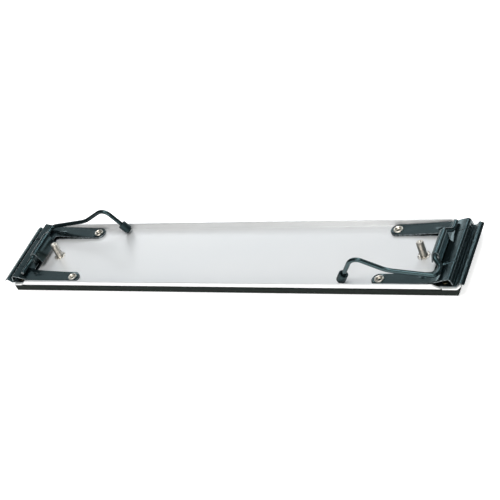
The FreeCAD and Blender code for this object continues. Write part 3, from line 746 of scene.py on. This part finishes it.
def snap_rivets(name, sign, place, under_head, material):
    shape = bmesh.new()
    foot = PLATE_UNDER
    corners = [(0, foot - 0.6), (2.5, foot - 0.6), (2.5, foot), (1.5, foot), (1.5, under_head)]
    corners += [(2.5, under_head), (1.9, under_head + 0.75), (0, under_head + 0.8)]
    outline = rounded_outline(corners, [0.3, 0.1, 0, 0, 0.12, 0.6])
    for along in (-place[1], place[1]):
        turned(shape, outline, Vector((sign * place[0], along, 0)), 32)
    for vertex in shape.verts:
        vertex.co *= MM
    return settle(into_piece(name, shape, [material]), 40)


brass = plain_brass()
for side, sign in SIDES:
    pins = snap_rivets(side + "_brass_rivets", sign, CROSSBAR_RIVET, FLOOR + JAW_THICK, brass)
    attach(pins, "pad")
    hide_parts(side + "_crossbar_rivets")
    pins = snap_rivets(side + "_foot_rivets", sign, SADDLE_RIVET, FLOOR + JAW_THICK + 1.2, nickel)
    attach(pins, "pad")
    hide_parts(side + "_saddle_rivets")

# Saddles. A strip of 1.2 mm steel rolled over the lever's crank as its bearing. One leg goes down
# through the spring jaw to a foot on the fixed jaw; the other is a loose sloping flap.

CRANK = (181.9, 19.6)
WIRE = 1.75
SADDLE_THICK = 1.15
SADDLE_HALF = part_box("right_saddle")[1].y / MM
ROLL = WIRE + 0.1 + SADDLE_THICK / 2
FLAP_ENDS = {"right": (177.7, 12.1), "left": (175.9, 11.9)}
FOOT_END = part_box("right_saddle")[1].x / MM - 0.2
FOOT_HEIGHT = FLOOR + JAW_THICK + SADDLE_THICK / 2 + 0.02


def saddle_run(flap_end):
    """The flap, the roll round the crank and the leg with its foot, seen from the side."""
    pin = Vector(CRANK)
    edge = Vector(flap_end)
    reach = pin - edge
    lean = math.atan2(reach.y, reach.x) + math.asin(ROLL / reach.length)
    heading = Vector((math.cos(lean), math.sin(lean)))
    touch = pin + Vector((-heading.y, heading.x)) * ROLL
    run = [("line", edge, heading, (touch - edge).length)]
    run.append(("arc", touch, heading, ROLL * (lean + math.pi / 2), -ROLL))
    below = folded_run(
        [(pin.x + ROLL, pin.y), (pin.x + ROLL, FOOT_HEIGHT), (FOOT_END, FOOT_HEIGHT)], [1.2])
    return run + below


for side, sign in SIDES:
    run = saddle_run(FLAP_ENDS[side])
    length = run_length(run)
    half = SADDLE_HALF
    edge = [(0, -half + 0.8), (0.23, -half + 0.23), (0.8, -half), (length - 1, -half)]
    edge += [(length, -half + 1), (length, half - 1), (length - 1, half)]
    edge += [(0.8, half), (0.23, half - 0.23), (0, half - 0.8)]

    def roll(flat, lift):
        spot, heading = on_run(run, flat.x)
        return Vector((sign * (spot.x - heading.y * lift), sign * flat.y, spot.y + heading.x * lift))

    name = side + "_saddle_bracket"
    roll_cuts = [(0, bend_cuts(run, 0.3))]
    bracket = sheet_metal(name, blank(name, [edge]), roll, SADDLE_THICK, roll_cuts, [black, edge_wear_and_painted_highlight])
    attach(bracket, "pad")
    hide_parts(side + "_saddle")

# Spring jaws. The same U in spring steel, riveted over the fixed jaw's arms. The crossbar arches over and
# comes down to a punched lip. On the real jaw the arms bend as it lifts, so the riveted ends stay put;
# here the jaw is built at rest only.

ARM_FACE = FLOOR + JAW_THICK + 0.16 + JAW_THICK / 2
SPRING_RUN = folded_run([
    (ARM_TIP, ARM_FACE), (145, ARM_FACE), (168, ARM_FACE + 1.35), (180.6, 11.15), (185.6, 12.1),
    (189.9, 13.6), (195.4, 14.95), (196.8, 13.8), (198.0, 9.0)], [60, 60, 20, 14, 16, 0.9, 1.1])
LIP_HOLES = 10.8
LIP_CORNER = 9.0
LIP_STEEP = 0.98
ARM_DIMPLE = 174.5
DIMPLE_BESIDE = 26.4
DIMPLE_SIZE = 2.9
DIMPLE_HEIGHT = 0.6
WINDOW_EDGE = 185.6
WINDOW_HALF = 13.4
GRIP_HOLE = 0.95

for side, sign in SIDES:
    bar = distance_to(SPRING_RUN, CROSSBAR)
    window = (distance_to(SPRING_RUN, WINDOW_EDGE), WINDOW_HALF)
    spring_edge = jaw_outline(0, bar, run_length(SPRING_RUN), window)
    lip = run_length(SPRING_RUN) - (LIP_HOLES - LIP_CORNER) / LIP_STEEP
    holes = []
    for number in range(GRIP_ROW):
        holes.append(ring(lip, (number - (GRIP_ROW - 1) / 2) * GRIP_PITCH, GRIP_HOLE, 14))
    for along in (-ARM_RIVET[1], ARM_RIVET[1]):
        holes.append(ring(ARM_RIVET[0] - ARM_TIP, along, 2.3, 24))
    dimple = (distance_to(SPRING_RUN, ARM_DIMPLE), DIMPLE_BESIDE, DIMPLE_SIZE, DIMPLE_HEIGHT)
    spring = folded_jaw(side + "_sprung_jaw", SPRING_RUN, [spring_edge] + holes, sign, dimple)
    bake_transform(spring)
    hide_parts(side + "_spring_jaw")

# Arm rivets. Tubular, nickel plated, set through both jaws and the plate; the head is dished and the
# bore is left a little oval by the setting tool.

ARM_HEAD = FLOOR + 2 * JAW_THICK + 0.16
HEAD_RADIUS = 3.95


def tubular_rivets(name, sign):
    shape = bmesh.new()
    foot = PLATE_UNDER
    corners = [(1.3, foot - 0.6), (3.0, foot - 0.6), (3.0, foot), (2.0, foot), (2.0, ARM_HEAD)]
    corners += [(HEAD_RADIUS, ARM_HEAD + 0.02), (HEAD_RADIUS - 0.35, ARM_HEAD + 0.75)]
    corners += [(3.05, ARM_HEAD + 0.95), (2.0, ARM_HEAD + 0.2), (1.3, ARM_HEAD - 1.4), (1.3, foot - 0.6)]
    outline = rounded_outline(corners, [0.2, 0.1, 0, 0, 0.25, 0.4, 0.5, 0.5, 0.3])
    for along in (-ARM_RIVET[1], ARM_RIVET[1]):
        first = len(shape.verts)
        turned(shape, outline, Vector((0, 0, 0)), 48)
        shape.verts.ensure_lookup_table()
        for vertex in shape.verts[first:]:
            radius = math.hypot(vertex.co.x, vertex.co.y)
            pinch = max(0.0, 1 - radius / 3.2) * 0.22
            vertex.co.x *= 1 + pinch
            vertex.co.y *= 1 - pinch
            vertex.co += Vector((sign * ARM_RIVET[0], along, 0))
    bmesh.ops.remove_doubles(shape, verts=shape.verts, dist=1e-5)
    for vertex in shape.verts:
        vertex.co *= MM
    return settle(into_piece(name, shape, [nickel]), 45)


for side, sign in SIDES:
    tubes = tubular_rivets(side + "_tube_rivets", sign)
    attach(tubes, "pad")
    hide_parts(side + "_arm_rivets")

# Levers. Each is one length of 3.5 mm steel wire bent cold: a tail, the crank that turns in the
# saddle, a square corner and the long handle with its hump. It is blackened, its tail's cut is bare,
# and the press has squeezed it a little wider between the crank and the handle.

JOURNAL = (186.5, 15.4)
WEB_START = 15.0
WEB_END = 19.8
WEB_REACH = 7
WEB_SWELL = 0.14
CUT_CHAMFER = 0.35
TAIL_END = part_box("right_clamp_lever")[1].y / MM
LEVER_SIDE = 29.7
HANDLE = [(148.9, 20.85), (124.4, 34.2)]
NOSE = (108.2, 9.3)


def black_wire():
    """Drawn wire, blackened: faint marks along it, and smoother grey where it rubs."""
    material, nodes, links, shader, place = new_material("black_wire")
    cloud = mottle(nodes, links, place, 150, 4, 0.6)
    colour = tinted(nodes, links, cloud, [(0.32, (0.002, 0.004, 0.005)), (0.72, (0.007, 0.012, 0.013))])
    links.new(colour, shader.inputs["Base Color"])
    links.new(between(nodes, links, cloud, 0.3, 0.7, 0.15, 0.26), shader.inputs["Roughness"])
    drawn = mottle(nodes, links, place, 1400, 3, 0.6, (0.2, 1, 1))
    raised(nodes, links, drawn, 0.03, 0.3, shader)
    shader.inputs["Specular IOR Level"].default_value = 0.8
    shader.inputs["Specular Tint"].default_value = (0.56, 0.92, 1.0, 1)
    return material


def bare_cut():
    """The cropped end of the wire, bare steel with shear lines."""
    material, nodes, links, shader, place = new_material("bare_cut")
    lines = mottle(nodes, links, place, 1600, 3, 0.6, (1, 1, 0.15))
    colour = tinted(nodes, links, lines, [(0.3, (0.30, 0.32, 0.33)), (0.7, (0.62, 0.64, 0.65))])
    links.new(colour, shader.inputs["Base Color"])
    links.new(between(nodes, links, lines, 0.3, 0.7, 0.25, 0.5), shader.inputs["Roughness"])
    shader.inputs["Metallic"].default_value = 1.0
    return material


def bent_wire(points, radii, step=0.45):
    """The wire's middle line, bend by bend."""
    spots = [Vector(point) for point in points]
    line = [spots[0]]
    for number, radius in enumerate(radii, start=1):
        corner = spots[number]
        back = (spots[number - 1] - corner).normalized()
        ahead = (spots[number + 1] - corner).normalized()
        turn = math.pi - back.angle(ahead)
        reach = radius * math.tan(turn / 2)
        centre = corner + (back + ahead).normalized() * radius / math.cos(turn / 2)
        spoke = corner + back * reach - centre
        axis = spoke.cross(-back).normalized()
        count = max(4, math.ceil(radius * turn / step))
        for share in range(count + 1):
            line.append(centre + Matrix.Rotation(turn * share / count, 3, axis) @ spoke)
    line.append(spots[-1])
    return line


def drawn_out(line, longest=4.0):
    """Adds points on long straight runs, so that the faces stay evenly long."""
    result = [line[0]]
    for spot in line[1:]:
        gap = spot - result[-1]
        count = max(1, math.ceil(gap.length / longest))
        begin = result[-1]
        result += [begin + gap * share / count for share in range(1, count + 1)]
    return result


def sleeve(shape, line, radii, sides):
    """Rings carried along the line without twisting; radii gives one radius for each point."""
    heading = (line[1] - line[0]).normalized()
    across = heading.orthogonal().normalized()
    rows = []
    for number, spot in enumerate(line):
        before = line[max(0, number - 1)]
        after = line[min(len(line) - 1, number + 1)]
        fresh = (after - before).normalized()
        across = (across - fresh * across.dot(fresh)).normalized()
        beside = fresh.cross(across)
        row = []
        for side in range(sides):
            angle = 2 * math.pi * side / sides
            spoke = across * math.cos(angle) + beside * math.sin(angle)
            row.append(shape.verts.new(spot + spoke * radii[number]))
        rows.append(row)
    for below, above in zip(rows, rows[1:]):
        for side in range(sides):
            following = (side + 1) % sides
            shape.faces.new((below[side], below[following], above[following], above[side]))
    return rows


def wire_lever(name, sign):
    points = [(JOURNAL[0], TAIL_END, JOURNAL[1]), (JOURNAL[0], WEB_END, JOURNAL[1])]
    points += [(CRANK[0], WEB_START, CRANK[1]), (CRANK[0], -WEB_START, CRANK[1])]
    points += [(JOURNAL[0], -WEB_END, JOURNAL[1]), (JOURNAL[0], -LEVER_SIDE, JOURNAL[1])]
    points += [(across, -LEVER_SIDE, up) for across, up in HANDLE]
    hump = Vector(points[-1])
    nose = Vector((NOSE[0], -LEVER_SIDE, NOSE[1]))
    points.append(tuple(nose + (hump - nose).normalized() * 2.4))
    radii = [3.0, 3.0, 3.0, 3.0, 4.0, 28, 8.4]
    line = drawn_out(bent_wire(points, radii))
    first = line[0]
    line[0] = first + (line[1] - first).normalized() * CUT_CHAMFER
    line.insert(0, first)
    widths = []
    for spot in line:
        bend = max(0, 1 - abs(abs(spot.y) - (WEB_START + WEB_END) / 2) / WEB_REACH)
        widths.append(WIRE * (1 + WEB_SWELL * bend) if spot.y < 0 else WIRE)
    widths[0] = WIRE - CUT_CHAMFER
    shape = bmesh.new()
    rows = sleeve(shape, line, widths, 28)
    cut = shape.faces.new(rows[0][::-1])
    cut.material_index = 1
    shape.faces.new(rows[-1])
    for vertex in shape.verts:
        vertex.co = Vector((sign * vertex.co.x, sign * vertex.co.y, vertex.co.z)) * MM
    return settle(into_piece(name, shape, [wire_black, wire_cut]), 38)


wire_black = black_wire()
wire_cut = bare_cut()
for side, sign in SIDES:
    lever = wire_lever(side + "_wire_lever", sign)
    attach(lever, side + "_lever")
    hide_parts(side + "_clamp_lever")

# Lever caps. Moulded black rubber ferrules pushed on the wire's end. The mouth is open round the wire,
# and a smaller nose ring rests on the plate.


def moulded_rubber():
    """Black rubber, matt, with a faint bloom and mould texture."""
    material, nodes, links, shader, place = new_material("moulded_rubber")
    bloom = mottle(nodes, links, place, 300, 4, 0.6)
    colour = tinted(nodes, links, bloom, [(0.3, (0.004, 0.008, 0.009)), (0.7, (0.009, 0.015, 0.017))])
    links.new(colour, shader.inputs["Base Color"])
    links.new(between(nodes, links, bloom, 0.3, 0.7, 0.34, 0.5), shader.inputs["Roughness"])
    skin = mottle(nodes, links, place, 1800, 2, 0.5)
    raised(nodes, links, skin, 0.04, 0.4, shader)
    shader.inputs["Specular Tint"].default_value = (0.56, 0.92, 1.0, 1)
    return material


def rubber_cap(name, sign):
    corners = [(0, 0), (2.85, 0), (2.85, 1.3), (3.7, 1.35), (3.75, 9.0), (2.6, 9.0), (2.5, 8.0)]
    corners += [(1.72, 7.7), (1.72, 2.2), (0, 2.2)]
    outline = rounded_outline(corners, [0.6, 0.15, 0.35, 0.3, 0.25, 0.2, 0.2, 0.1])
    nose = Vector((NOSE[0], -LEVER_SIDE, NOSE[1]))
    hump = Vector((HANDLE[-1][0], -LEVER_SIDE, HANDLE[-1][1]))
    turn = (hump - nose).to_track_quat("Z", "Y").to_matrix()
    shape = bmesh.new()
    turned(shape, outline, nose, 44, turn)
    for vertex in shape.verts:
        vertex.co = Vector((sign * vertex.co.x, sign * vertex.co.y, vertex.co.z)) * MM
    return settle(into_piece(name, shape, [rubber]), 50)


rubber = moulded_rubber()
for side, sign in SIDES:
    cap = rubber_cap(side + "_rubber_cap", sign)
    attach(cap, side + "_lever")
    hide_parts(side + "_lever_tip")

# Studio. A plain pale floor that runs out of sight, soft boxes above and in front for even light, and
# a wide dim wall of light behind the pad, with narrow strips that draw highlights along the bends.


def pale_floor():
    material, nodes, links, shader, place = new_material("pale_floor")
    cloud = mottle(nodes, links, place, 1.5, 2, 0.5)
    colour = tinted(nodes, links, cloud, [(0.3, (0.93, 0.93, 0.93)), (0.7, (0.95, 0.95, 0.95))])
    links.new(colour, shader.inputs["Base Color"])
    shader.inputs["Roughness"].default_value = 0.9
    shader.inputs["Specular IOR Level"].default_value = 0.1
    links.new(colour, shader.inputs["Emission Color"])
    shader.inputs["Emission Strength"].default_value = 0.75
    return material


floor_shape = bmesh.new()
bmesh.ops.create_grid(floor_shape, x_segments=8, y_segments=8, size=6)
floor = into_piece("studio_floor", floor_shape, [pale_floor()])
floor.location.z = -0.0002

world = bpy.data.worlds.new("studio")
bpy.context.scene.world = world
world.use_nodes = True
world.node_tree.nodes["Background"].inputs["Color"].default_value = (0.86, 0.95, 1.0, 1)
world.node_tree.nodes["Background"].inputs["Strength"].default_value = 0.07


def soft_light(name, place, target, width, height, power, colour):
    light = bpy.data.lights.new(name, "AREA")
    light.shape = "RECTANGLE"
    light.size = width
    light.size_y = height
    light.energy = power
    light.color = colour
    lamp = bpy.data.objects.new(name, light)
    lamp.location = place
    lamp.rotation_euler = (Vector(target) - Vector(place)).to_track_quat("-Z", "Y").to_euler()
    bpy.context.scene.collection.objects.link(lamp)
    return lamp


soft_light("top_softbox", (0.1, -0.1, 1.7), (0, 0, 0), 1.2, 0.8, 19, (1.0, 0.99, 0.97))
soft_light("front_softbox", (0.2, -1.5, 0.55), (0, 0, 0), 1.4, 0.6, 12, (1.0, 0.96, 0.91))
soft_light("back_wall", (-0.9, 1.35, 1.25), (0, 0, 0.1), 2.6, 0.9, 4.4, (0.97, 0.99, 1.0))
soft_light("low_strip", (-0.8, 1.3, 0.62), (0.1, 0, 0), 0.8, 0.22, 2.6, (0.95, 0.98, 1.0))
soft_light("back_strip", (0.2, 1.2, 1.15), (0.1, 0, 0), 0.12, 0.8, 5, (0.90, 0.96, 1.0))
soft_light("side_panel", (0.78, 1.2, 1.08), (0.2, 0, 0), 0.25, 0.5, 1.2, (0.95, 0.98, 1.0))

# Camera. Long lens, above and to the right of the pad's front, and tilted so that the pad lies
# nearly level across the frame.

CAMERA_PLACE = Vector((0.5096, -0.6801, 0.6542))
CAMERA_AHEAD = Vector((-0.4631, 0.6453, -0.6076))
CAMERA_TILT = math.radians(23.76)
LENS = 94.96

camera = bpy.data.cameras.new("camera")
camera.lens = LENS
camera.sensor_width = 36
eye = bpy.data.objects.new("camera", camera)
eye.location = CAMERA_PLACE
upright = CAMERA_AHEAD.to_track_quat("-Z", "Y").to_matrix()
eye.rotation_euler = (upright @ Matrix.Rotation(-CAMERA_TILT, 3, "Z")).to_euler()
bpy.context.scene.collection.objects.link(eye)
bpy.context.scene.camera = eye
bpy.context.scene.view_settings.view_transform = "Standard"
